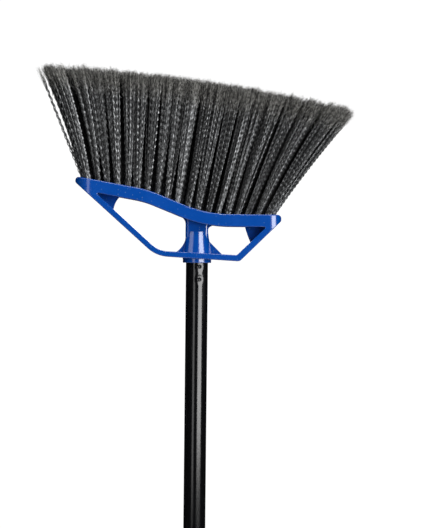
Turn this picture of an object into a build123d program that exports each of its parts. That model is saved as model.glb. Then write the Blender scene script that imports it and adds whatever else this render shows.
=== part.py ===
from build123d import *
import math
import os

# Angle broom, head up, in millimetres.
# Origin: on the handle's axis, in the plane of the socket's mouth, where the tube ends.
# +Z runs up the handle's axis to the bristles, +X to the block's low end, +Y to the back.

os.makedirs("parts", exist_ok=True)

# ---------------------------------------------------------------- driving dimensions
# head moulding, front outline as X, Z corners with their corner radii
BLOCK_TOP = [(-130.4, 86.5), (-50.3, 72.4), (8.8, 48.6), (90.0, 48.6)]
FRAME_FOOT = [(42.6, 1.8), (-40.5, 6.3)]
OUTLINE_RADII = [3.5, 109.0, 123.0, 4.2, 5.0, 32.0]
OPENING = [(-101.6, 68.9), (-53.6, 60.4), (6.5, 36.3), (68.9, 36.3), (39.6, 8.1), (-38.5, 11.7)]
OPENING_RADII = [1.0, 95.0, 135.0, 1.0, 2.0, 24.0]
HEAD_DEPTH = 36.0
LEFT_END, RIGHT_END = -122.6, 83.7
LEFT_END_RADIUS, RIGHT_END_RADIUS = 17.0, 11.2
OUTER_EDGE_RADIUS = 1.0
INNER_EDGE_RADIUS = 0.8
WEB_THICKNESS = 3.0
LEFT_GUSSET = [(-78.0, 64.9), (-82.0, 59.2), (-83.9, 52.6)]
LEFT_FOOT_GUSSET = [(-24.6, 8.6), (-15.6, 15.6), (-11.8, 23.0)]
LEFT_NECK_CORNER = [(-11.8, 38.8), (-12.9, 42.4), (-15.8, 45.4)]
RIGHT_NECK_CORNER = [(14.4, 36.6), (11.9, 35.4), (10.9, 32.6)]
RIGHT_FOOT_GUSSET = [(10.9, 22.6), (28.2, 5.5)]
RIGHT_GUSSET = [(53.2, 21.0), (50.1, 28.4), (47.6, 36.4)]
WEB_OVERLAP = 2.0
NECK_LEFT, NECK_RIGHT, NECK_FOOT, NECK_TOP = -11.4, 10.9, 20.0, 45.0
NECK_DEPTH, NECK_RADIUS = 15.0, 2.5

# socket and its screw thread, the common 3/4 inch, 5 turns per inch trapezoidal one
SOCKET_TOP, SOCKET_TOP_RADIUS = 31.0, 11.1
SOCKET_FOOT, SOCKET_FOOT_RADIUS = 6.0, 14.6
COLLAR_TOP, COLLAR_RADIUS = 3.8, 14.2
SOCKET_MOUTH_EDGE = 0.5
COUNTERBORE_DEPTH, COUNTERBORE_RADIUS = 6.0, 11.3
PITCH = 25.4 / 5
THREAD_ROOT_RADIUS, THREAD_CREST_RADIUS = 7.0, 9.5
THREAD_ROOT_HALF, THREAD_CREST_HALF = 1.6, 0.95
THREAD_START, THREAD_TURNS = 8.3, 3.4
THREAD_CLEARANCE = 0.2
BORE_TOP = 29.0

# tube handle, its threaded tip and its hang cap
TUBE_RADIUS, TUBE_WALL, TUBE_LENGTH = 11.0, 0.6, 1197.0
DIMPLE_HEIGHTS = (-3.8, -16.6)
DIMPLE_AZIMUTH = -75.0
DIMPLE_RADIUS, DIMPLE_DEPTH = 1.85, 1.3
DIMPLE_RIM_RADIUS = 0.5
TIP_FLANGE_RADIUS, TIP_FLANGE_HEIGHT = 10.8, 4.4
TIP_SHANK_LENGTH = 30.0
PLUG_CLEARANCE = 0.05
PLUG_EDGE = 1.0
TIP_TOP, TIP_CHAMFER = 28.0, 1.2
WASHER_INNER, WASHER_OUTER, WASHER_HEIGHT = 9.75, 10.8, 1.2
WASHER_CLEARANCE = 0.1
CAP_SHANK_LENGTH, CAP_RADIUS, CAP_SHOULDER, CAP_EDGE = 26.0, 10.8, 3.0, 1.2
CAP_TAB_WIDTH, CAP_TAB_HEIGHT, CAP_TAB_THICKNESS, TAB_EDGE = 17.0, 19.0, 8.0, 1.5
HANG_HOLE_RADIUS = 4.5

# bristle field: columns along the block, two straight inner rows, two staggered outer rows
COLUMNS = 20
FIRST_ROOT, LAST_ROOT = -115.0, 75.2
INNER_ROW, OUTER_ROW = 4.0, 12.0
HOLE_RADIUS, HOLE_DEPTH = 2.4, 9.0
ROOT_RADIUS, ROOT_DEPTH = 2.35, 7.6
HOLE_MOUTH = 3.0
TIP_WIDTH_RADIUS, TIP_DEPTH_RADIUS = 7.0, 5.5
DEPTH_FLARE = 1.45
TUFT_GAP = 0.3
FAN_MIDDLE, FAN_LINEAR, FAN_CUBIC = 7.7, 11.7, 14.8
TRIM_HEIGHT, TRIM_SLOPE, TRIM_SAG = 182.2, -0.1325, -2.97e-4
ANCHOR_LENGTH, ANCHOR_WIDTH, ANCHOR_THICKNESS = 4.3, 1.3, 0.5
ANCHOR_HEIGHT = 0.7

UP = (Align.CENTER, Align.CENTER, Align.MIN)
DOWN = (Align.CENTER, Align.CENTER, Align.MAX)

pitch = (LAST_ROOT - FIRST_ROOT) / (COLUMNS - 1)
field_middle = (FIRST_ROOT + LAST_ROOT) / 2
field_half = (LAST_ROOT - FIRST_ROOT) / 2


# ---------------------------------------------------------------- bristle field geometry
def block_height(x):
    """Height of the block's top face above a point at x, on its straight runs."""
    for (x0, z0), (x1, z1) in zip(BLOCK_TOP, BLOCK_TOP[1:]):
        if x <= x1:
            return z0 + (z1 - z0) * (x - x0) / (x1 - x0)
    return BLOCK_TOP[-1][1]


def tuft_line(x, y):
    """Root point, unit direction and length of the tuft that stands at (x, y)."""
    s = (x - field_middle) / field_half
    angle = math.radians(FAN_MIDDLE + FAN_LINEAR * s + FAN_CUBIC * s**3)
    z = block_height(x)
    length = 120.0
    for _ in range(8):
        tip_x = x + length * math.sin(angle)
        trim = TRIM_HEIGHT + TRIM_SLOPE * tip_x + TRIM_SAG * tip_x**2
        length = (trim - z) / math.cos(angle)
    rise = Vector(length * math.sin(angle), y * (DEPTH_FLARE - 1), length * math.cos(angle))
    return Vector(x, y, z), rise.normalized(), rise.length


def tip_half_width(x, y):
    """Half a tuft's width at its tip: the room between its neighbours, up to a full tuft."""
    root_a, way_a, length_a = tuft_line(x - pitch / 2, y)
    root_b, way_b, length_b = tuft_line(x + pitch / 2, y)
    across = (root_b + way_b * length_b) - (root_a + way_a * length_a)
    room = across.cross(tuft_line(x, y)[1]).length
    return min(room / 2 - TUFT_GAP, TIP_WIDTH_RADIUS)


def tuft_plane(x, y, along):
    """Plane square to a tuft at a distance along it from its root, with x in the row."""
    root, way, _ = tuft_line(x, y)
    row = Vector(0, 1, 0).cross(way)
    return Plane(origin=root + way * along, x_dir=row, z_dir=way)


def column_spots(column):
    """The tuft positions of one column: two inner ones and, but for the last, two outer."""
    x = FIRST_ROOT + column * pitch
    spots = [(x, -INNER_ROW), (x, INNER_ROW)]
    if column < COLUMNS - 1:
        spots += [(x + pitch / 2, -OUTER_ROW), (x + pitch / 2, OUTER_ROW)]
    return spots


all_spots = [spot for column in range(COLUMNS) for spot in column_spots(column)]


# ---------------------------------------------------------------- screw thread
def thread_section(clearance):
    """Trapezoid of one thread turn, from inside the root out to the crest."""
    depth = THREAD_CREST_RADIUS - THREAD_ROOT_RADIUS + clearance
    root, crest = THREAD_ROOT_HALF + clearance, THREAD_CREST_HALF + clearance
    return [(-0.6, -root - 0.1), (depth, -crest), (depth, crest), (-0.6, root + 0.1)]


def thread_turns(start, turns, clearance):
    """Solid of a right-hand helical ridge round the Z axis."""
    with BuildPart() as ridge:
        with BuildLine() as helix:
            Helix(PITCH, turns * PITCH, THREAD_ROOT_RADIUS, center=(0, 0, start))
        start_plane = Plane(origin=helix.line @ 0, x_dir=(1, 0, 0), z_dir=helix.line % 0)
        with BuildSketch(start_plane):
            with BuildLine():
                Polyline(*thread_section(clearance), close=True)
            make_face()
        sweep(is_frenet=True)
    return ridge.part


# ---------------------------------------------------------------- broom head
with BuildPart() as broom_head:
    # the whole moulding's front outline, cut to the plan's rounded ends
    with BuildSketch(Plane.XZ):
        with BuildLine():
            FilletPolyline(*BLOCK_TOP, *FRAME_FOOT, radius=OUTLINE_RADII, close=True)
        make_face()
    extrude(amount=HEAD_DEPTH / 2, both=True)
    with BuildSketch(Plane.XY) as plan:
        with Locations(((LEFT_END + RIGHT_END) / 2, 0)):
            Rectangle(RIGHT_END - LEFT_END, HEAD_DEPTH)
        fillet(plan.vertices().group_by(Axis.X)[0], LEFT_END_RADIUS)
        fillet(plan.vertices().group_by(Axis.X)[-1], RIGHT_END_RADIUS)
    extrude(amount=100, mode=Mode.INTERSECT)
    outline_edges = broom_head.edges().filter_by(
        lambda edge: abs(abs(edge.center().Y) - HEAD_DEPTH / 2) < 0.01
    )
    fillet(outline_edges, OUTER_EDGE_RADIUS)

    # the opening between block, arms and bottom bar
    with BuildSketch(Plane.XZ):
        with BuildLine():
            FilletPolyline(*OPENING, radius=OPENING_RADII, close=True)
        make_face()
    extrude(amount=HEAD_DEPTH, both=True, mode=Mode.SUBTRACT)
    outline_faces = broom_head.faces().filter_by(Axis.Y).sort_by(Axis.Y)
    opening_edges = [
        edge
        for face in (outline_faces[0], outline_faces[-1])
        for edge in face.inner_wires()[0].edges()
    ]
    fillet(opening_edges, INNER_EDGE_RADIUS)

    # the thin web at mid depth, with its two windows
    with BuildSketch(Plane.XZ):
        with BuildLine():
            FilletPolyline(*OPENING, radius=OPENING_RADII, close=True)
        make_face()
        offset(amount=WEB_OVERLAP / 2)
        with BuildLine():
            gusset = ThreePointArc(*LEFT_GUSSET)
            foot = ThreePointArc(*LEFT_FOOT_GUSSET)
            neck = ThreePointArc(*LEFT_NECK_CORNER)
            Polyline(gusset @ 1, (-86.0, 47.0), (-42.0, 8.0), foot @ 0)
            Line(foot @ 1, neck @ 0)
            Polyline(neck @ 1, (-16.0, 49.0), (-53.0, 65.0), (-77.0, 69.0), gusset @ 0)
        make_face(mode=Mode.SUBTRACT)
        with BuildLine():
            neck = ThreePointArc(*RIGHT_NECK_CORNER)
            foot = Line(*RIGHT_FOOT_GUSSET)
            gusset = ThreePointArc(*RIGHT_GUSSET)
            Line(neck @ 1, foot @ 0)
            Polyline(foot @ 1, (40.0, 5.5), (54.6, 18.0), gusset @ 0)
            Polyline(gusset @ 1, (47.0, 39.0), (14.4, 39.0), neck @ 0)
        make_face(mode=Mode.SUBTRACT)
    extrude(amount=WEB_THICKNESS / 2, both=True)

    # the neck between block and socket, and the tapered socket with its collar
    with BuildSketch(Plane.XY.offset(NECK_FOOT)):
        with Locations(((NECK_LEFT + NECK_RIGHT) / 2, 0)):
            RectangleRounded(NECK_RIGHT - NECK_LEFT, NECK_DEPTH, NECK_RADIUS)
    extrude(amount=NECK_TOP - NECK_FOOT)
    with BuildSketch(Plane.XZ):
        with BuildLine():
            Polyline(
                (0, 0),
                (COLLAR_RADIUS, 0),
                (COLLAR_RADIUS, COLLAR_TOP),
                (SOCKET_FOOT_RADIUS, SOCKET_FOOT),
                (SOCKET_TOP_RADIUS, SOCKET_TOP),
                (0, SOCKET_TOP),
                close=True,
            )
        make_face()
    revolve(axis=Axis.Z)
    fillet(broom_head.edges().filter_by(GeomType.CIRCLE).group_by(Axis.Z)[0], SOCKET_MOUTH_EDGE)

    # counterbore, thread bore and female thread
    with Locations((0, 0, 0)):
        Cylinder(COUNTERBORE_RADIUS, COUNTERBORE_DEPTH, align=UP, mode=Mode.SUBTRACT)
        Cylinder(THREAD_ROOT_RADIUS + THREAD_CLEARANCE, BORE_TOP, align=UP, mode=Mode.SUBTRACT)
    add(
        thread_turns(THREAD_START - PITCH, THREAD_TURNS + 1.12, THREAD_CLEARANCE),
        mode=Mode.SUBTRACT,
    )

    # one blind hole for each tuft
    with Locations(*[tuft_plane(x, y, HOLE_MOUTH) for x, y in all_spots]):
        Cylinder(HOLE_RADIUS, HOLE_DEPTH + HOLE_MOUTH, align=DOWN, mode=Mode.SUBTRACT)

broom_head.part.label = "broom_head"
export_step(broom_head.part, "parts/broom_head.step")


# ---------------------------------------------------------------- bristles and anchors
for column in range(COLUMNS):
    with BuildPart() as tuft_column:
        for x, y in column_spots(column):
            tip_plane = tuft_plane(x, y, tuft_line(x, y)[2])
            with BuildSketch(tuft_plane(x, y, -ROOT_DEPTH)):
                Circle(ROOT_RADIUS)
            extrude(amount=ROOT_DEPTH + HOLE_MOUTH)
            with BuildSketch(tuft_plane(x, y, HOLE_MOUTH)):
                Circle(ROOT_RADIUS)
            with BuildSketch(tip_plane):
                Ellipse(tip_half_width(x, y), TIP_DEPTH_RADIUS)
            loft()
    tuft_column.part.label = f"tuft_column_{column + 1:02d}"
    export_step(tuft_column.part, f"parts/{tuft_column.part.label}.step")

# the filaments are folded over a flat wire anchor at the bottom of each hole
with BuildPart() as tuft_anchors:
    with Locations(*[tuft_plane(x, y, ANCHOR_HEIGHT - HOLE_DEPTH) for x, y in all_spots]):
        Box(ANCHOR_LENGTH, ANCHOR_WIDTH, ANCHOR_THICKNESS)
tuft_anchors.part.label = "tuft_anchors"
export_step(tuft_anchors.part, "parts/tuft_anchors.step")


# ---------------------------------------------------------------- handle
# a dimple is the cap of a ball, whose centre lies outside the tube
dimple_ball = (DIMPLE_RADIUS**2 + DIMPLE_DEPTH**2) / (2 * DIMPLE_DEPTH)
ball_reach = TUBE_RADIUS - DIMPLE_DEPTH + dimple_ball
dimple_way = Vector(1, 0, 0).rotate(Axis.Z, DIMPLE_AZIMUTH)
dimple_spots = [dimple_way * ball_reach + Vector(0, 0, height) for height in DIMPLE_HEIGHTS]
plug_radius = TUBE_RADIUS - TUBE_WALL - PLUG_CLEARANCE
tab_top = -TUBE_LENGTH - CAP_SHOULDER
tab_centre = tab_top - CAP_TAB_HEIGHT + CAP_TAB_WIDTH / 2

with BuildPart() as handle_tube:
    with BuildSketch(Plane.XY):
        Circle(TUBE_RADIUS)
        Circle(TUBE_RADIUS - TUBE_WALL, mode=Mode.SUBTRACT)
    extrude(amount=-TUBE_LENGTH)
    # each dimple is punched inwards, so the wall bulges in behind it
    with BuildPart():
        with Locations(*dimple_spots):
            Sphere(dimple_ball + TUBE_WALL)
        Cylinder(TUBE_RADIUS - TUBE_WALL / 2, TUBE_LENGTH, align=DOWN, mode=Mode.INTERSECT)
    with Locations(*dimple_spots):
        Sphere(dimple_ball, mode=Mode.SUBTRACT)
    outer_face = handle_tube.faces().filter_by(GeomType.CYLINDER).sort_by(SortBy.AREA)[-1]
    dimple_rims = [edge for rim in outer_face.inner_wires() for edge in rim.edges()]
    fillet(dimple_rims, DIMPLE_RIM_RADIUS)
handle_tube.part.label = "handle_tube"
export_step(handle_tube.part, "parts/handle_tube.step")

# the plastic tip is pushed into the tube and held there by the dimples
with BuildPart() as threaded_tip:
    Cylinder(plug_radius, TIP_SHANK_LENGTH, align=DOWN)
    fillet(threaded_tip.edges().sort_by(Axis.Z)[0], PLUG_EDGE)
    Cylinder(TIP_FLANGE_RADIUS, TIP_FLANGE_HEIGHT, align=UP)
    Cylinder(THREAD_ROOT_RADIUS, TIP_TOP, align=UP)
    chamfer(threaded_tip.edges().sort_by(Axis.Z)[-1], TIP_CHAMFER)
    add(thread_turns(THREAD_START, THREAD_TURNS, 0))
    with Locations(*dimple_spots):
        Sphere(dimple_ball + TUBE_WALL + PLUG_CLEARANCE, mode=Mode.SUBTRACT)
threaded_tip.part.label = "threaded_tip"
export_step(threaded_tip.part, "parts/threaded_tip.step")

# the thin washer that the screwed-down head presses on the tip's flange
with BuildPart() as socket_washer:
    with BuildSketch(Plane.XY.offset(COUNTERBORE_DEPTH - WASHER_HEIGHT - WASHER_CLEARANCE)):
        Circle(WASHER_OUTER)
        Circle(WASHER_INNER, mode=Mode.SUBTRACT)
    extrude(amount=WASHER_HEIGHT)
socket_washer.part.label = "socket_washer"
export_step(socket_washer.part, "parts/socket_washer.step")

# the cap that closes the tube's lower end, with a tab to hang the broom by
with BuildPart() as hang_cap:
    with BuildSketch(Plane.XY.offset(-TUBE_LENGTH)):
        Circle(plug_radius)
    extrude(amount=CAP_SHANK_LENGTH)
    with BuildSketch(Plane.XY.offset(-TUBE_LENGTH)):
        Circle(CAP_RADIUS)
    extrude(amount=-CAP_SHOULDER)
    fillet(hang_cap.edges().sort_by(Axis.Z)[0], CAP_EDGE)
    with BuildSketch(Plane.XZ):
        with Locations((0, tab_centre)):
            Circle(CAP_TAB_WIDTH / 2)
            Rectangle(CAP_TAB_WIDTH, CAP_TAB_HEIGHT, align=(Align.CENTER, Align.MIN))
    extrude(amount=CAP_TAB_THICKNESS / 2, both=True)
    tab_edges = hang_cap.edges().filter_by(
        lambda edge: edge.center().Z < tab_top and abs(edge.center().Y) > CAP_TAB_THICKNESS / 2 - 0.01
    )
    fillet(tab_edges, TAB_EDGE)
    with Locations(Plane(origin=(0, 0, tab_centre), z_dir=(0, 1, 0))):
        Cylinder(HANG_HOLE_RADIUS, CAP_TAB_THICKNESS * 2, mode=Mode.SUBTRACT)
hang_cap.part.label = "hang_cap"
export_step(hang_cap.part, "parts/hang_cap.step")
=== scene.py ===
import math

import bpy
from mathutils import Euler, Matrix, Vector


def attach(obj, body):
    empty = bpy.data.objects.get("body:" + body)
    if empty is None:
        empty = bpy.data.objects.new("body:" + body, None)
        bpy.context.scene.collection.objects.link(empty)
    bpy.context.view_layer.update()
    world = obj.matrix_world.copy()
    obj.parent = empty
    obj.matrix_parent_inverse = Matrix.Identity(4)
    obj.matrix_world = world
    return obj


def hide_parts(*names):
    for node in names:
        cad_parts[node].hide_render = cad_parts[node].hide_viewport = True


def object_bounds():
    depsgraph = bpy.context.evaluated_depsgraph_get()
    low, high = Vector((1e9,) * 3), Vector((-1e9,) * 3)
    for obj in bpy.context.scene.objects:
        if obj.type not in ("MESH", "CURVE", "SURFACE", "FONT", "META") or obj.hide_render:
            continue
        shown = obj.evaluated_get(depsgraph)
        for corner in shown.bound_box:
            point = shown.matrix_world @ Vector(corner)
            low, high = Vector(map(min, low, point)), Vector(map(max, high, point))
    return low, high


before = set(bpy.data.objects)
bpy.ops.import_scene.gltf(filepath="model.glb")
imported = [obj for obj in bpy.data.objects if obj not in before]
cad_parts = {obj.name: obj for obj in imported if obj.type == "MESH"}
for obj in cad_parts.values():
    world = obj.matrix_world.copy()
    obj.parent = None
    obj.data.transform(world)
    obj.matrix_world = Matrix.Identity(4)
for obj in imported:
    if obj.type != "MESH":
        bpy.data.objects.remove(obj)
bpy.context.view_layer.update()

# ------------------------------------------------------------------ handle tube
# Thin-walled steel tube, 22 mm across, rolled and welded, then powder-coated gloss black.
# Two dimples punched just under the head's socket lock the threaded tip inside it.
TUBE_RADIUS = 0.011
DIMPLE_HEIGHTS, DIMPLE_AZIMUTH = (-0.0038, -0.0166), math.radians(-75)
DIMPLE_RADIUS, DRAWN_RADIUS, DRAWN_DEPTH = 0.0018, 0.006, 0.00028
COAT_BLACK, SCUFF_GREY = (0.0035, 0.0036, 0.0042, 1), (0.03, 0.03, 0.032, 1)
COAT_GLOSS = 0.8


def put(tree, kind, inputs=None, **settings):
    """Adds a node, sets its properties, and fills its inputs with values or with other outputs."""
    node = tree.nodes.new(kind)
    for name, value in settings.items():
        setattr(node, name, value)
    for key, value in (inputs or {}).items():
        if isinstance(value, bpy.types.NodeSocket):
            tree.links.new(value, node.inputs[key])
        else:
            node.inputs[key].default_value = value
    return node


def calc(tree, operation, *values):
    """Adds a Math node and returns its result."""
    return put(tree, "ShaderNodeMath", dict(enumerate(values)), operation=operation).outputs[0]


def new_group(name, kind, inputs, outputs):
    """Makes a node group with named float, vector or colour sockets."""
    tree = bpy.data.node_groups.new(name, kind)
    for side, sockets in (("INPUT", inputs), ("OUTPUT", outputs)):
        for socket_name, socket_type, *default in sockets:
            socket = tree.interface.new_socket(socket_name, in_out=side, socket_type=socket_type)
            if default:
                socket.default_value = default[0]
    return tree


def make_surface_grain():
    """Fine lumps of a sprayed or moulded skin: a 0 to 1 mask and the normal it gives."""
    group = new_group(
        "surface_grain",
        "ShaderNodeTree",
        [
            ("Lumps per metre", "NodeSocketFloat", 900.0),
            ("Roughening", "NodeSocketFloat", 0.6),
            ("Height", "NodeSocketFloat", 0.00002),
        ],
        [("Mask", "NodeSocketFloat"), ("Normal", "NodeSocketVector")],
    )
    given = put(group, "NodeGroupInput")
    place = put(group, "ShaderNodeTexCoord").outputs["Object"]
    lumps = put(
        group,
        "ShaderNodeTexNoise",
        {
            "Vector": place,
            "Scale": given.outputs["Lumps per metre"],
            "Detail": 3.0,
            "Roughness": given.outputs["Roughening"],
        },
    ).outputs[0]
    bump = put(
        group,
        "ShaderNodeBump",
        {"Strength": 1.0, "Distance": given.outputs["Height"], "Height": lumps},
    ).outputs[0]
    put(group, "NodeGroupOutput", {"Mask": lumps, "Normal": bump})
    return group


def make_edge_wear():
    """Mask of a piece's worn outer edges, broken up so that it isn't an even line."""
    group = new_group(
        "edge_wear",
        "ShaderNodeTree",
        [
            ("Edge width", "NodeSocketFloat", 0.0008),
            ("Patches per metre", "NodeSocketFloat", 160.0),
        ],
        [("Mask", "NodeSocketFloat")],
    )
    given = put(group, "NodeGroupInput")
    rounded = put(group, "ShaderNodeBevel", {"Radius": given.outputs["Edge width"]}, samples=4)
    flat = put(group, "ShaderNodeNewGeometry").outputs["Normal"]
    turn = put(
        group, "ShaderNodeVectorMath", {0: rounded.outputs[0], 1: flat}, operation="DOT_PRODUCT"
    ).outputs["Value"]
    edge = put(
        group, "ShaderNodeMapRange", {"Value": turn, "From Min": 0.995, "From Max": 0.86}
    ).outputs[0]
    place = put(group, "ShaderNodeTexCoord").outputs["Object"]
    patches = put(
        group,
        "ShaderNodeTexNoise",
        {"Vector": place, "Scale": given.outputs["Patches per metre"], "Detail": 4.0},
    ).outputs[0]
    patchy = put(
        group, "ShaderNodeMapRange", {"Value": patches, "From Min": 0.38, "From Max": 0.62}
    ).outputs[0]
    put(group, "NodeGroupOutput", {"Mask": calc(group, "MULTIPLY", edge, patchy)})
    return group


surface_grain = make_surface_grain()
edge_wear = make_edge_wear()


def new_material(name):
    """An empty node material with its Principled shader wired to the output."""
    material = bpy.data.materials.new(name)
    material.use_nodes = True
    shader = material.node_tree.nodes["Principled BSDF"]
    return material, material.node_tree, shader


def use_group(tree, group, inputs):
    """Places a shared shader group with its own values."""
    return put(tree, "ShaderNodeGroup", inputs, node_tree=group)


def make_black_powder_coat():
    """Gloss black powder coat: a fine orange peel, faint dust and scuffs along the tube."""
    material, tree, shader = new_material("black_powder_coat")
    grain = use_group(
        tree, surface_grain, {"Lumps per metre": 1500.0, "Roughening": 0.7, "Height": 0.000018}
    )
    place = put(tree, "ShaderNodeTexCoord").outputs["Object"]
    stretched = put(tree, "ShaderNodeMapping", {"Vector": place, "Scale": (300.0, 300.0, 9.0)})
    scuffs = put(tree, "ShaderNodeTexNoise", {"Vector": stretched.outputs[0], "Scale": 1.0})
    scuff_mask = put(
        tree,
        "ShaderNodeMapRange",
        {"Value": scuffs.outputs[0], "From Min": 0.62, "From Max": 0.8},
    ).outputs[0]
    colour = put(
        tree,
        "ShaderNodeMix",
        {"Factor": scuff_mask, "A": COAT_BLACK, "B": SCUFF_GREY},
        data_type="RGBA",
    )
    tree.links.new(colour.outputs["Result"], shader.inputs["Base Color"])
    rough = put(
        tree,
        "ShaderNodeMapRange",
        {"Value": grain.outputs["Mask"], "To Min": 0.08, "To Max": 0.2},
    ).outputs[0]
    tree.links.new(calc(tree, "MULTIPLY_ADD", scuff_mask, 0.2, rough), shader.inputs["Roughness"])
    shader.inputs["Specular IOR Level"].default_value = COAT_GLOSS
    # the wall is drawn in a little all round each punched dimple
    drawn = []
    for height in DIMPLE_HEIGHTS:
        spot = (
            TUBE_RADIUS * math.cos(DIMPLE_AZIMUTH),
            TUBE_RADIUS * math.sin(DIMPLE_AZIMUTH),
            height,
        )
        away = put(tree, "ShaderNodeVectorMath", {0: place, 1: spot}, operation="DISTANCE")
        ring = put(
            tree,
            "ShaderNodeMapRange",
            {"Value": away.outputs["Value"], "From Min": DIMPLE_RADIUS, "From Max": DRAWN_RADIUS},
            interpolation_type="SMOOTHSTEP",
        )
        drawn.append(ring.outputs[0])
    dent = put(
        tree,
        "ShaderNodeBump",
        {
            "Strength": 1.0,
            "Distance": DRAWN_DEPTH,
            "Height": calc(tree, "MULTIPLY", *drawn),
            "Normal": grain.outputs["Normal"],
        },
    )
    tree.links.new(dent.outputs[0], shader.inputs["Normal"])
    return material


def paint(node_name, material):
    """Gives a CAD node its finish."""
    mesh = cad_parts[node_name].data
    mesh.materials.clear()
    mesh.materials.append(material)


paint("handle_tube", make_black_powder_coat())

# ------------------------------------------------------------------ threaded tip, washer and hang cap
# Injection-moulded black plastic tip and cap, each pushed into an end of the tube.
# A thin nylon washer lies between the tip's flange and the bottom of the head's socket.
PLASTIC_BLACKS = (0.012, 0.012, 0.013, 1), (0.05, 0.05, 0.052, 1)
NYLON_WHITES = (0.55, 0.54, 0.5, 1), (0.68, 0.67, 0.62, 1)


def make_matt_plastic(name, dark, light):
    """Moulded plastic with a satin skin, paler on its rubbed edges."""
    material, tree, shader = new_material(name)
    grain = use_group(tree, surface_grain, {"Lumps per metre": 2200.0, "Height": 0.00003})
    wear = use_group(tree, edge_wear, {"Edge width": 0.0007, "Patches per metre": 400.0})
    colour = put(
        tree,
        "ShaderNodeMix",
        {"Factor": wear.outputs["Mask"], "A": dark, "B": light},
        data_type="RGBA",
    )
    tree.links.new(colour.outputs["Result"], shader.inputs["Base Color"])
    rough = put(
        tree,
        "ShaderNodeMapRange",
        {"Value": grain.outputs["Mask"], "To Min": 0.36, "To Max": 0.58},
    ).outputs[0]
    tree.links.new(rough, shader.inputs["Roughness"])
    tree.links.new(grain.outputs["Normal"], shader.inputs["Normal"])
    return material


black_plastic = make_matt_plastic("black_plastic", *PLASTIC_BLACKS)
paint("threaded_tip", black_plastic)
paint("hang_cap", black_plastic)
paint("socket_washer", make_matt_plastic("nylon", *NYLON_WHITES))

# ------------------------------------------------------------------ broom head
# One polypropylene moulding: tuft block, arms, bottom bar, set-back web and screw socket.
# The skin is glossy, with a slow sink-mark ripple, pale specks in the resin and rubbed edges.
RESIN_DARK, RESIN_LIGHT = (0.0004, 0.062, 0.35, 1), (0.0008, 0.08, 0.44, 1)
SPECK_BLUE, RUBBED_BLUE = (0.12, 0.24, 0.45, 1), (0.03, 0.1, 0.34, 1)
RESIN_IOR, RESIN_GLOSS = 1.6, 1.0


def make_blue_polypropylene():
    """Glossy blue moulded polypropylene with resin specks and lightly rubbed edges."""
    material, tree, shader = new_material("blue_polypropylene_skin")
    place = put(tree, "ShaderNodeTexCoord").outputs["Object"]
    cloud = put(tree, "ShaderNodeTexNoise", {"Vector": place, "Scale": 45.0, "Detail": 4.0})
    resin = put(
        tree,
        "ShaderNodeMix",
        {
            "Factor": cloud.outputs[0],
            "A": RESIN_DARK,
            "B": RESIN_LIGHT,
        },
        data_type="RGBA",
    ).outputs["Result"]
    cells = put(
        tree, "ShaderNodeTexVoronoi", {"Vector": place, "Scale": 420.0, "Randomness": 1.0}
    )
    near = put(
        tree,
        "ShaderNodeMapRange",
        {"Value": cells.outputs["Distance"], "From Min": 0.26, "From Max": 0.12},
    ).outputs[0]
    cell_pick = put(tree, "ShaderNodeSeparateColor", {0: cells.outputs["Color"]}).outputs[0]
    few = put(
        tree, "ShaderNodeMapRange", {"Value": cell_pick, "From Min": 0.72, "From Max": 0.9}
    ).outputs[0]
    speck = calc(tree, "MULTIPLY", calc(tree, "MULTIPLY", near, few), 0.8)
    specked = put(
        tree,
        "ShaderNodeMix",
        {"Factor": speck, "A": resin, "B": SPECK_BLUE},
        data_type="RGBA",
    ).outputs["Result"]
    wear = use_group(tree, edge_wear, {"Edge width": 0.0009, "Patches per metre": 180.0})
    colour = put(
        tree,
        "ShaderNodeMix",
        {
            "Factor": calc(tree, "MULTIPLY", wear.outputs["Mask"], 0.35),
            "A": specked,
            "B": RUBBED_BLUE,
        },
        data_type="RGBA",
    ).outputs["Result"]
    tree.links.new(colour, shader.inputs["Base Color"])
    grain = use_group(
        tree, surface_grain, {"Lumps per metre": 420.0, "Roughening": 0.45, "Height": 0.00007}
    )
    rough = put(
        tree,
        "ShaderNodeMapRange",
        {"Value": cloud.outputs[0], "To Min": 0.1, "To Max": 0.22},
    ).outputs[0]
    tree.links.new(rough, shader.inputs["Roughness"])
    tree.links.new(grain.outputs["Normal"], shader.inputs["Normal"])
    shader.inputs["Specular IOR Level"].default_value = RESIN_GLOSS
    shader.inputs["IOR"].default_value = RESIN_IOR
    return material


paint("broom_head", make_blue_polypropylene())

# ------------------------------------------------------------------ tuft anchors
# Short pieces of flat drawn steel wire, driven edge-on into each hole over the folded filaments.
# They sit at the bottom of the holes, out of sight once the head is filled.
WIRE_DARK, WIRE_BRIGHT = (0.42, 0.41, 0.4, 1), (0.62, 0.61, 0.59, 1)


def make_drawn_wire():
    """Bright steel wire with fine drawing lines."""
    material, tree, shader = new_material("drawn_steel_wire")
    place = put(tree, "ShaderNodeTexCoord").outputs["Object"]
    lines = put(tree, "ShaderNodeMapping", {"Vector": place, "Scale": (900.0, 9000.0, 9000.0)})
    streaks = put(tree, "ShaderNodeTexNoise", {"Vector": lines.outputs[0], "Scale": 1.0})
    colour = put(
        tree,
        "ShaderNodeMix",
        {"Factor": streaks.outputs[0], "A": WIRE_DARK, "B": WIRE_BRIGHT},
        data_type="RGBA",
    )
    tree.links.new(colour.outputs["Result"], shader.inputs["Base Color"])
    shader.inputs["Metallic"].default_value = 1.0
    rough = put(
        tree,
        "ShaderNodeMapRange",
        {"Value": streaks.outputs[0], "To Min": 0.22, "To Max": 0.42},
    ).outputs[0]
    tree.links.new(rough, shader.inputs["Roughness"])
    return material


paint("tuft_anchors", make_drawn_wire())

# ------------------------------------------------------------------ bristles
# Crimped, flagged synthetic filament, dark grey: 78 tufts folded over anchors in four rows.
# Each tuft leaves its hole as a tight bundle, fans out to the trim line, and is split at its tips.
COLUMNS = 20
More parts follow.
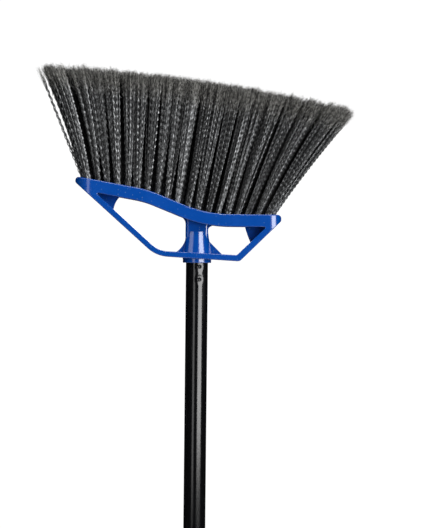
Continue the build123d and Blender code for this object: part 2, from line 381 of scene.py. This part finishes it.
# roots of the first and last column, the block's top and the rows, as the moulding has them
FIRST_ROOT, LAST_ROOT = -0.115, 0.0752
BLOCK_TOP = [(-0.1304, 0.0865), (-0.0503, 0.0724), (0.0088, 0.0486), (0.09, 0.0486)]
INNER_ROW, OUTER_ROW = 0.004, 0.012
# lean of the tufts across the field, in degrees, and the line that their tips are trimmed to
FAN_MIDDLE, FAN_LINEAR, FAN_CUBIC = 7.7, 11.7, 14.8
DEPTH_FLARE = 1.45
TRIM_HEIGHT, TRIM_SLOPE, TRIM_SAG = 0.1822, -0.1325, -0.297
WIDEST_TUFT, END_TUFT = 0.0156, 0.008
END_SWAY = -0.0028
# filaments in a tuft, and the loose ones that lean out of the end tufts, with their turn in degrees
INNER_FILAMENTS, OUTER_FILAMENTS, LOOSE_FILAMENTS = 40, 60, 5
LOOSE_ROOM = 0.0006
LOOSE_TURNS = {0: (-3.2,), COLUMNS - 1: (1.2, 2.2)}
# one crimp's length at the block's two ends, the range of its size, and where it starts
LEFT_CRIMP, RIGHT_CRIMP = 0.0068, 0.0044
CRIMP_SIZES = 0.6, 1.15
CRIMP_SHIFT = 0.35
ROOT_FADE = 0.06
# uneven cut, stray bows and split ends
SHORTEST_CUT = 0.955
STRAND_SPREAD = 0.04
STRAND_STRAY, FILAMENT_STRAY = (0.0011, 0.0011, 0.0004), (0.0006, 0.0006, 0.0002)
TUFT_LEAN = (0.0016, 0.0008, 0.0)
SPLIT_START = 0.78, 0.9
FLAG_POINTS, FLAG_KINK = 6, 3.4
FLAG_REACH = (0.003, 0.0024, 0.003)
THINNING, TIP_THICKNESS = (0.78, 0.96), 0.3
# darkest and palest filament, the same at the worn tips, and the painted shade on the tufts: how dark
# the inner tufts are painted, and how much the others darken from the field's left end to its right
# the darkest filament colour is also the painted shade in the crimps' troughs
FILAMENT_BLACK_AND_SHADE, FILAMENT_GREY = (0.004, 0.004, 0.0045, 1), (0.9, 0.92, 0.94, 1)
WORN_BLACK, WORN_GREY = (0.004, 0.004, 0.0035, 1), (0.62, 0.61, 0.57, 1)
INNER_PAINTED_SHADE, PAINTED_SHADE_FALL = 0.25, 0.09
# shares of a strand's and a filament's random tone, and the faintest painted glint: the weakest
# painted crest highlight and trough shade that a strand gets
STRAND_TONE, FILAMENT_TONE, FAINTEST_PAINTED_GLINT = 0.6, 0.4, 0.45
FILAMENT_GLOSS = 0.3
column_pitch = (LAST_ROOT - FIRST_ROOT) / (COLUMNS - 1)


def block_height(x):
    """Height of the block's top face at x."""
    for (x0, z0), (x1, z1) in zip(BLOCK_TOP, BLOCK_TOP[1:]):
        if x <= x1:
            return z0 + (z1 - z0) * (x - x0) / (x1 - x0)
    return BLOCK_TOP[-1][1]


def field_side(x):
    """Place across the tuft field: -1 at its first column, 1 at its last."""
    return (2 * x - FIRST_ROOT - LAST_ROOT) / (LAST_ROOT - FIRST_ROOT)


def tuft_line(x, y):
    """Root, direction and length of the tuft that stands at (x, y)."""
    s = field_side(x)
    angle = math.radians(FAN_MIDDLE + FAN_LINEAR * s + FAN_CUBIC * s**3)
    z = block_height(x)
    length = 0.12
    for _ in range(8):
        tip_x = x + length * math.sin(angle)
        length = (TRIM_HEIGHT + TRIM_SLOPE * tip_x + TRIM_SAG * tip_x**2 - z) / math.cos(angle)
    rise = Vector((length * math.sin(angle), y * (DEPTH_FLARE - 1), length * math.cos(angle)))
    return Vector((x, y, z)), rise.normalized(), rise.length


def tip_room(x, y):
    """Room between the tips of a tuft's neighbours in its row, up to the widest tuft."""
    root_a, way_a, length_a = tuft_line(x - column_pitch / 2, y)
    root_b, way_b, length_b = tuft_line(x + column_pitch / 2, y)
    across = (root_b + way_b * length_b) - (root_a + way_a * length_a)
    widest = END_TUFT if x == FIRST_ROOT else WIDEST_TUFT
    return min(across.cross(tuft_line(x, y)[1]).length, widest)


def column_spots(column):
    """Tuft positions of one column: two inner ones and, but for the last, two outer."""
    x = FIRST_ROOT + column * column_pitch
    spots = [(x, -INNER_ROW), (x, INNER_ROW)]
    if column < COLUMNS - 1:
        spots += [(x + column_pitch / 2, -OUTER_ROW), (x + column_pitch / 2, OUTER_ROW)]
    return spots


def tuft_seeds(column):
    """Root, direction, length, room, filament count, painted shade and end sway of each tuft of a
    column.
    """
    seeds = []
    for x, y in column_spots(column):
        # a tuft inside the field is seen only through gaps, so it needs fewer filaments, and painted
        # shade darkens them in place of the outer rows' shadow
        inside = abs(y) == INNER_ROW and 0 < column < COLUMNS - 1
        amount = INNER_FILAMENTS if inside else OUTER_FILAMENTS
        # painted light: the other tufts are lightened towards the field's left end and darkened
        # towards its right, as the light falls across the field
        painted_shade = INNER_PAINTED_SHADE if inside else 1.0 - PAINTED_SHADE_FALL * field_side(x)
        sway = END_SWAY * field_side(x) ** 3
        seeds.append((*tuft_line(x, y), tip_room(x, y) / 2, amount, painted_shade, sway))
    # a few filaments at each end of the field lean out of their tuft
    for turn in LOOSE_TURNS.get(column, ()):
        root, way, reach, *_ = seeds[0]
        way = Euler((0, math.radians(turn), 0)).to_matrix() @ way
        seeds.append((root, way, reach, LOOSE_ROOM, LOOSE_FILAMENTS, 1.0, 0.0))
    return seeds


def seed_points(column):
    """One vertex for each tuft of a column, with what its filaments need to know."""
    mesh = bpy.data.meshes.new("tuft_roots")
    roots, ways, reaches, rooms, amounts, painted_shades, sways = zip(*tuft_seeds(column))
    mesh.from_pydata(roots, [], [])
    tuft_values = {
        "root": ("FLOAT_VECTOR", roots),
        "way": ("FLOAT_VECTOR", ways),
        "row": ("FLOAT_VECTOR", [Vector((0, 1, 0)).cross(way).normalized() for way in ways]),
        "reach": ("FLOAT", reaches),
        "room": ("FLOAT", rooms),
        "amount": ("INT", amounts),
        "tuft": ("INT", range(len(roots))),
        "painted_shade": ("FLOAT", painted_shades),
        "sway": ("FLOAT", sways),
    }
    for name, (kind, values) in tuft_values.items():
        attribute = mesh.attributes.new(name, kind, "POINT")
        for item, value in zip(attribute.data, values):
            if kind == "FLOAT_VECTOR":
                item.vector = value
            else:
                item.value = value
    return mesh


def walk(tree, start, *steps):
    """Goes from a place along some directions, by a length for each."""
    for direction, length in steps:
        step = put(tree, "ShaderNodeVectorMath", {0: direction, "Scale": length}, operation="SCALE")
        moved = put(tree, "ShaderNodeVectorMath", {0: start, 1: step.outputs[0]}, operation="ADD")
        start = moved.outputs[0]
    return start


def read(tree, name, kind="FLOAT"):
    """Named Attribute node."""
    node = put(tree, "GeometryNodeInputNamedAttribute", {"Name": name}, data_type=kind)
    return node.outputs["Attribute"]


def chance(tree, low, high, key, seed):
    """Random number between two limits, the same each time for one key."""
    node = put(tree, "FunctionNodeRandomValue", {"ID": key, "Seed": seed}, data_type="FLOAT")
    node.inputs[2].default_value, node.inputs[3].default_value = low, high
    return node.outputs[1]


def make_filament_path():
    """Place of a filament's point, from how far along it the point is."""
    tree = new_group(
        "filament_path",
        "GeometryNodeTree",
        [
            ("Along", "NodeSocketFloat"),
            ("Root radius", "NodeSocketFloat", 0.0022),
            ("Tip depth", "NodeSocketFloat", 0.0066),
            ("Sunk", "NodeSocketFloat", 0.004),
            ("Crimp", "NodeSocketFloat", 0.0005),
            ("Opening power", "NodeSocketFloat", 1.1),
            ("Tip looseness", "NodeSocketFloat", 1.6),
        ],
        [("Place", "NodeSocketVector")],
    )
    given = put(tree, "NodeGroupInput").outputs
    along = given["Along"]
    way, row = read(tree, "way", "FLOAT_VECTOR"), read(tree, "row", "FLOAT_VECTOR")
    side = put(tree, "ShaderNodeCombineXYZ", {"Y": 1.0}).outputs[0]
    # the filament starts inside its hole, a little deeper or less deep than its neighbours
    sunk = calc(tree, "MULTIPLY", given["Sunk"], -1.0)
    depth = calc(tree, "SUBTRACT", sunk, read(tree, "shift"))
    reach = calc(tree, "MULTIPLY", read(tree, "reach"), read(tree, "cut"))
    height = calc(tree, "MULTIPLY_ADD", along, calc(tree, "SUBTRACT", reach, depth), depth)
    # the bundle opens from the hole's radius to the tuft's room
    opening = calc(tree, "POWER", along, given["Opening power"])
    widening = calc(tree, "SUBTRACT", read(tree, "room"), given["Root radius"])
    wide = calc(tree, "MULTIPLY_ADD", widening, opening, given["Root radius"])
    deepening = calc(tree, "SUBTRACT", given["Tip depth"], given["Root radius"])
    deep = calc(tree, "MULTIPLY_ADD", deepening, opening, given["Root radius"])
    disc = put(tree, "ShaderNodeSeparateXYZ", {0: read(tree, "disc", "FLOAT_VECTOR")}).outputs
    across = calc(tree, "MULTIPLY", disc[0], wide)
    back = calc(tree, "MULTIPLY", disc[1], deep)
    # crimp: the wave lies in the filament's own plane
    swing = calc(tree, "MULTIPLY", read(tree, "wave"), given["Crimp"])
    plane = read(tree, "plane")
    across = calc(tree, "MULTIPLY_ADD", swing, calc(tree, "COSINE", plane), across)
    back = calc(tree, "MULTIPLY_ADD", swing, calc(tree, "SINE", plane), back)
    # the end tufts bow inwards, and each filament has a slow bow of its own and a looser tip
    bow = calc(tree, "SINE", calc(tree, "MULTIPLY", along, math.pi))
    across = calc(tree, "MULTIPLY_ADD", bow, read(tree, "sway"), across)
    tip_end = calc(tree, "POWER", along, 3.0)
    loose = calc(tree, "MULTIPLY_ADD", tip_end, given["Tip looseness"], bow)
    place = walk(
        tree,
        read(tree, "root", "FLOAT_VECTOR"),
        (way, height),
        (row, across),
        (side, back),
        (read(tree, "stray", "FLOAT_VECTOR"), loose),
    )
    put(tree, "NodeGroupOutput", {"Place": place})
    return tree


filament_path = make_filament_path()


def store(tree, geometry, name, value, kind="FLOAT"):
    """Store Named Attribute node."""
    return put(
        tree,
        "GeometryNodeStoreNamedAttribute",
        {"Geometry": geometry, "Name": name, "Value": value},
        data_type=kind,
        domain="POINT",
    ).outputs[0]


def grow_curves(tree, points, bends, thickness, start, flagged):
    """Curves from a share of the way along each point's filament, with a three-sided skin."""
    line = put(tree, "GeometryNodeCurvePrimitiveLine").outputs[0]
    line = put(tree, "GeometryNodeResampleCurve", {"Curve": line, "Count": bends}).outputs[0]
    points = store(tree, points, "start", start)
    placed = put(tree, "GeometryNodeInstanceOnPoints", {"Points": points, "Instance": line})
    curves = put(tree, "GeometryNodeRealizeInstances", {0: placed.outputs[0]}).outputs[0]
    factor = put(tree, "GeometryNodeSplineParameter").outputs["Factor"]
    curves = store(tree, curves, "free", factor)
    rest = calc(tree, "SUBTRACT", 1.0, read(tree, "start"))
    along = calc(tree, "MULTIPLY_ADD", factor, rest, read(tree, "start"))
    curves = store(tree, curves, "along", along)
    # successive points swing to one side and the other, so that two points make one crimp
    step = calc(tree, "MULTIPLY", factor, calc(tree, "SUBTRACT", bends, 1.0))
    swing = calc(tree, "COSINE", calc(tree, "MULTIPLY", step, math.pi))
    swing = calc(tree, "MULTIPLY", swing, read(tree, "side"))
    fade = put(
        tree, "ShaderNodeMapRange", {"Value": read(tree, "along"), "From Max": ROOT_FADE}
    ).outputs[0]
    curves = store(tree, curves, "wave", calc(tree, "MULTIPLY", swing, fade))
    path = put(
        tree, "GeometryNodeGroup", {"Along": read(tree, "along")}, node_tree=filament_path
    ).outputs[0]
    if flagged:
        opened = calc(tree, "POWER", read(tree, "free"), 0.9)
        path = walk(tree, path, (read(tree, "flag", "FLOAT_VECTOR"), opened))
    curves = put(tree, "GeometryNodeSetPosition", {"Geometry": curves, "Position": path}).outputs[0]
    taper = put(
        tree,
        "ShaderNodeMapRange",
        {
            "Value": read(tree, "along"),
            "From Min": THINNING[0],
            "From Max": THINNING[1],
            "To Min": 1.0,
            "To Max": TIP_THICKNESS,
        },
    ).outputs[0]
    triangle = put(tree, "GeometryNodeCurvePrimitiveCircle", {"Resolution": 3, "Radius": 1.0})
    return put(
        tree,
        "GeometryNodeCurveToMesh",
        {
            "Curve": curves,
            "Profile Curve": triangle.outputs[0],
            "Scale": calc(tree, "MULTIPLY", taper, thickness),
            "Fill Caps": True,
        },
    ).outputs[0]


def make_tuft_tree():
    """Geometry tree that grows crimped, flagged filaments from a column's tuft roots."""
    tree = new_group(
        "crimped_tufts",
        "GeometryNodeTree",
        [
            ("Geometry", "NodeSocketGeometry"),
            ("Filament radius", "NodeSocketFloat", 0.00048),
            ("Crimp points", "NodeSocketInt", 40),
            ("Crimp pitch", "NodeSocketFloat", 0.006),
            ("Strand size", "NodeSocketFloat", 1.0),
            ("Flags", "NodeSocketInt", 4),
            ("Flag radius", "NodeSocketFloat", 0.00023),
            ("Seed", "NodeSocketInt", 1),
            ("Material", "NodeSocketMaterial"),
        ],
        [("Geometry", "NodeSocketGeometry")],
    )
    given = put(tree, "NodeGroupInput").outputs
    seeds = iter(range(1, 40))

    def random(low, high, key):
        """Random number with a seed of its own."""
        return chance(tree, low, high, key, calc(tree, "ADD", given["Seed"], float(next(seeds))))

    def random_vector(reaches, key):
        """Random vector in a box round zero."""
        parts = {axis: random(-reach, reach, key) for axis, reach in zip("XYZ", reaches)}
        return put(tree, "ShaderNodeCombineXYZ", parts).outputs[0]

    def random_spot(key):
        """Random vector in a flat disc."""
        turn, out = random(0.0, 2 * math.pi, key), calc(tree, "SQRT", random(0.0, 1.0, key))
        x = calc(tree, "MULTIPLY", out, calc(tree, "COSINE", turn))
        y = calc(tree, "MULTIPLY", out, calc(tree, "SINE", turn))
        return put(tree, "ShaderNodeCombineXYZ", {"X": x, "Y": y}).outputs[0]

    # one point for each filament; those of one strand lie and crimp together
    copies = put(
        tree,
        "GeometryNodeDuplicateElements",
        {"Geometry": given["Geometry"], "Amount": read(tree, "amount", "INT")},
        domain="POINT",
    )
    points = copies.outputs[0]
    each = put(tree, "GeometryNodeInputIndex").outputs[0]
    strand = calc(tree, "FLOOR", calc(tree, "DIVIDE", each, given["Strand size"]))
    tuft = read(tree, "tuft", "INT")
    spot = walk(tree, random_spot(strand), (random_spot(each), STRAND_SPREAD))
    points = store(tree, points, "disc", spot, "FLOAT_VECTOR")
    points = store(tree, points, "cut", random(SHORTEST_CUT, 1.0, each))
    shift = calc(tree, "ADD", random(0.0, 1.0, strand), random(0.0, CRIMP_SHIFT, each))
    points = store(tree, points, "shift", calc(tree, "MULTIPLY", shift, given["Crimp pitch"]))
    points = store(tree, points, "plane", random(-1.0, 1.0, strand))
    first_way = calc(tree, "SIGN", random(-1.0, 1.0, strand))
    size = random(*CRIMP_SIZES, strand)
    points = store(tree, points, "side", calc(tree, "MULTIPLY", first_way, size))
    strand_tone = random(0.0, 1.0, strand)
    tone = calc(tree, "MULTIPLY_ADD", strand_tone, STRAND_TONE, random(0.0, FILAMENT_TONE, each))
    # a filament's tone is its random tone times its tuft's painted shade
    points = store(tree, points, "tone", calc(tree, "MULTIPLY", tone, read(tree, "painted_shade")))
    # how strongly each strand gets the painted highlight on its crimps' crests and the painted shade
    # in their troughs
    points = store(tree, points, "painted_glint", random(FAINTEST_PAINTED_GLINT, 1.0, strand))
    # a strand bows by a little, a filament by less, and each tuft leans its own way
    stray = walk(
        tree,
        random_vector(STRAND_STRAY, strand),
        (random_vector(FILAMENT_STRAY, each), 1.0),
        (random_vector(TUFT_LEAN, tuft), 1.0),
    )
    points = store(tree, points, "stray", stray, "FLOAT_VECTOR")

    filaments = grow_curves(
        tree, points, given["Crimp points"], given["Filament radius"], 0.0, flagged=False
    )
    # the end of each filament is split into finer, kinked flags
    flag_copies = put(
        tree,
        "GeometryNodeDuplicateElements",
        {"Geometry": points, "Amount": given["Flags"]},
        domain="POINT",
    )
    flag_reach = random_vector(FLAG_REACH, each)
    flag_points = store(tree, flag_copies.outputs[0], "flag", flag_reach, "FLOAT_VECTOR")
    flag_points = store(tree, flag_points, "tone", random(0.0, 1.0, each))
    kink = calc(tree, "MULTIPLY", random(-1.0, 1.0, each), FLAG_KINK)
    flag_points = store(tree, flag_points, "side", kink)
    split = random(*SPLIT_START, each)
    flags = grow_curves(tree, flag_points, FLAG_POINTS, given["Flag radius"], split, flagged=True)
    joined = put(tree, "GeometryNodeJoinGeometry")
    tree.links.new(flags, joined.inputs[0])
    tree.links.new(filaments, joined.inputs[0])
    real = put(tree, "GeometryNodeRealizeInstances", {0: joined.outputs[0]})
    finished = put(
        tree,
        "GeometryNodeSetMaterial",
        {"Geometry": real.outputs[0], "Material": given["Material"]},
    )
    put(tree, "NodeGroupOutput", {"Geometry": finished.outputs[0]})
    return tree


def make_crimped_filament():
    """Dark grey filament with a painted highlight on its crimps' crests and painted shade in their
    troughs, paler and duller at the split tips.
    """
    material, tree, shader = new_material("crimped_filament_grey")
    tone, along, wave, painted_glint = (
        put(tree, "ShaderNodeAttribute", attribute_name=name).outputs["Fac"]
        for name in ("tone", "along", "wave", "painted_glint")
    )
    # painted highlight: the strand's colour shows in full only near the crests of its crimps
    painted_crest_highlight = put(
        tree, "ShaderNodeMapRange", {"Value": wave, "From Min": -0.15, "From Max": 0.75}
    ).outputs[0]
    place = put(tree, "ShaderNodeTexCoord").outputs["Object"]
    lumps = put(tree, "ShaderNodeTexNoise", {"Vector": place, "Scale": 380.0}).outputs[0]
    patchy = put(
        tree,
        "ShaderNodeMapRange",
        {"Value": lumps, "From Min": 0.36, "From Max": 0.64, "To Min": 0.55, "To Max": 1.4},
    ).outputs[0]
    broken = calc(tree, "MULTIPLY", tone, patchy)
    strand = put(
        tree,
        "ShaderNodeMix",
        {
            "Factor": calc(tree, "POWER", broken, 1.9),
            "A": FILAMENT_BLACK_AND_SHADE,
            "B": FILAMENT_GREY,
        },
        data_type="RGBA",
    ).outputs["Result"]
    # painted shade: the crimps' troughs are pulled towards black, as far as each strand's painted
    # glint allows
    painted_trough_shade = calc(tree, "MULTIPLY", calc(tree, "SUBTRACT", 1.0, painted_crest_highlight), painted_glint)
    crimped = put(
        tree,
        "ShaderNodeMix",
        {"Factor": painted_trough_shade, "A": strand, "B": FILAMENT_BLACK_AND_SHADE},
        data_type="RGBA",
    ).outputs["Result"]
    tip = put(
        tree, "ShaderNodeMapRange", {"Value": along, "From Min": 0.78, "From Max": 0.92}
    ).outputs[0]
    worn = put(
        tree,
        "ShaderNodeMix",
        {
            "Factor": calc(tree, "POWER", broken, 2.0),
            "A": WORN_BLACK,
            "B": WORN_GREY,
        },
        data_type="RGBA",
    ).outputs["Result"]
    colour = put(
        tree,
        "ShaderNodeMix",
        {"Factor": calc(tree, "MULTIPLY", tip, 0.92), "A": crimped, "B": worn},
        data_type="RGBA",
    ).outputs["Result"]
    tree.links.new(colour, shader.inputs["Base Color"])
    rough = put(tree, "ShaderNodeMapRange", {"Value": tip, "To Min": 0.36, "To Max": 0.75})
    tree.links.new(rough.outputs[0], shader.inputs["Roughness"])
    shader.inputs["Specular IOR Level"].default_value = FILAMENT_GLOSS
    return material


def grow_column(column, tree, material):
    """Grows one column's bristles and freezes them to a plain mesh."""
    name = f"bristles_{column + 1:02d}"
    seedling = bpy.data.objects.new(name, seed_points(column))
    bpy.context.scene.collection.objects.link(seedling)
    grower = seedling.modifiers.new("tufts", "NODES")
    grower.node_group = tree
    sockets = {item.name: item.identifier for item in tree.interface.items_tree}
    crimp_pitch = LEFT_CRIMP + (RIGHT_CRIMP - LEFT_CRIMP) * column / (COLUMNS - 1)
    reach = tuft_line(FIRST_ROOT + column * column_pitch, INNER_ROW)[2]
    grower[sockets["Crimp pitch"]] = crimp_pitch
    grower[sockets["Crimp points"]] = round(2 * reach / crimp_pitch)
    grower[sockets["Seed"]] = 100 * (column + 1)
    grower[sockets["Material"]] = material
    bpy.context.view_layer.update()
    depsgraph = bpy.context.evaluated_depsgraph_get()
    mesh = bpy.data.meshes.new_from_object(seedling.evaluated_get(depsgraph))
    seedling.modifiers.remove(grower)
    old = seedling.data
    seedling.data = mesh
    bpy.data.meshes.remove(old)
    mesh.name = name
    return seedling


tuft_tree = make_tuft_tree()
filament_finish = make_crimped_filament()
for column in range(COLUMNS):
    bristles = grow_column(column, tuft_tree, filament_finish)
    bristles.data.shade_smooth()
    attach(bristles, "head")
    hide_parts(f"tuft_column_{column + 1:02d}")

# ------------------------------------------------------------------ studio
# Pale floor under the hang cap, white surroundings, and a camera square to the broom's front.
# A strong soft light stands to the right and another hangs above; weaker ones are left and behind.
FLOOR_SIZE, FLOOR_GAP = 5.0, 0.002
FLOOR_WHITE = (0.86, 0.86, 0.86, 1)
BACKDROP_LEVEL, ROOM_LEVEL = 1.05, 0.007
LIGHT_DISTANCE = 2.0
# azimuth from the camera's side in degrees, foot and top height, width, brightness
STANDING_LIGHTS = {
    "key_right": (38, -0.345, 0.85, 1.5, 5.6),
    "strip_left": (-26, -0.42, 0.25, 0.62, 1.4),
    "wall_left": (-58, 0.4, 1.4, 1.5, 1.3),
    "back_fill": (180, 0.1, 1.3, 1.6, 2.5),
}
OVERHEAD_LIGHT = (0, 1.3, 2.1, 1.6, 6.0)
OVERHEAD_DISTANCE, OVERHEAD_TILT = 1.1, 35
VIEW_HEIGHT = 0.528
CAMERA_DISTANCE = 2.5
CAMERA_ROLL = 0.0102
LOOK_AT = (0.01356, 0.0, -0.00106)
low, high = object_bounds()

bpy.ops.mesh.primitive_plane_add(size=FLOOR_SIZE, location=(0, 0, low.z - FLOOR_GAP))
floor = bpy.context.object
floor.name = "studio_floor"
floor_material, _, floor_shader = new_material("pale_floor")
floor_shader.inputs["Base Color"].default_value = FLOOR_WHITE
floor_shader.inputs["Roughness"].default_value = 0.8
floor.data.materials.append(floor_material)

world = bpy.data.worlds.new("white_surroundings")
bpy.context.scene.world = world
world.use_nodes = True
sky = world.node_tree
sky.nodes.clear()
ray = put(sky, "ShaderNodeLightPath")
backdrop = put(sky, "ShaderNodeBackground", {"Color": (1, 1, 1, 1), "Strength": BACKDROP_LEVEL})
room = put(sky, "ShaderNodeBackground", {"Color": (0.95, 0.97, 1, 1), "Strength": ROOM_LEVEL})
seen = put(
    sky,
    "ShaderNodeMixShader",
    {0: ray.outputs["Is Camera Ray"], 1: room.outputs[0], 2: backdrop.outputs[0]},
)
put(sky, "ShaderNodeOutputWorld", {"Surface": seen.outputs[0]})


def soft_light(name, azimuth, foot, top, width, brightness, distance=LIGHT_DISTANCE):
    """Upright soft light that faces the handle, from a foot to a top height."""
    data = bpy.data.lights.new(name, "AREA")
    data.shape = "RECTANGLE"
    data.size, data.size_y = width, top - foot
    data.energy = brightness * math.pi * width * (top - foot)
    lamp = bpy.data.objects.new(name, data)
    bpy.context.scene.collection.objects.link(lamp)
    turn = math.radians(azimuth)
    lamp.location = (distance * math.sin(turn), -distance * math.cos(turn), (foot + top) / 2)
    lamp.rotation_euler = (math.radians(90), 0, turn)
    return lamp


for name, stand in STANDING_LIGHTS.items():
    soft_light(name, *stand)
overhead = soft_light("overhead", *OVERHEAD_LIGHT, distance=OVERHEAD_DISTANCE)
overhead.rotation_euler = (math.radians(OVERHEAD_TILT), 0, 0)

camera_data = bpy.data.cameras.new("camera")
camera_data.sensor_width = 36.0
camera_data.lens = 36.0 * CAMERA_DISTANCE / VIEW_HEIGHT
camera = bpy.data.objects.new("camera", camera_data)
bpy.context.scene.collection.objects.link(camera)
camera.location = (LOOK_AT[0], -CAMERA_DISTANCE, LOOK_AT[2])
camera.rotation_euler = (math.radians(90), -CAMERA_ROLL, 0)
bpy.context.scene.camera = camera
bpy.context.scene.view_settings.view_transform = "Standard"
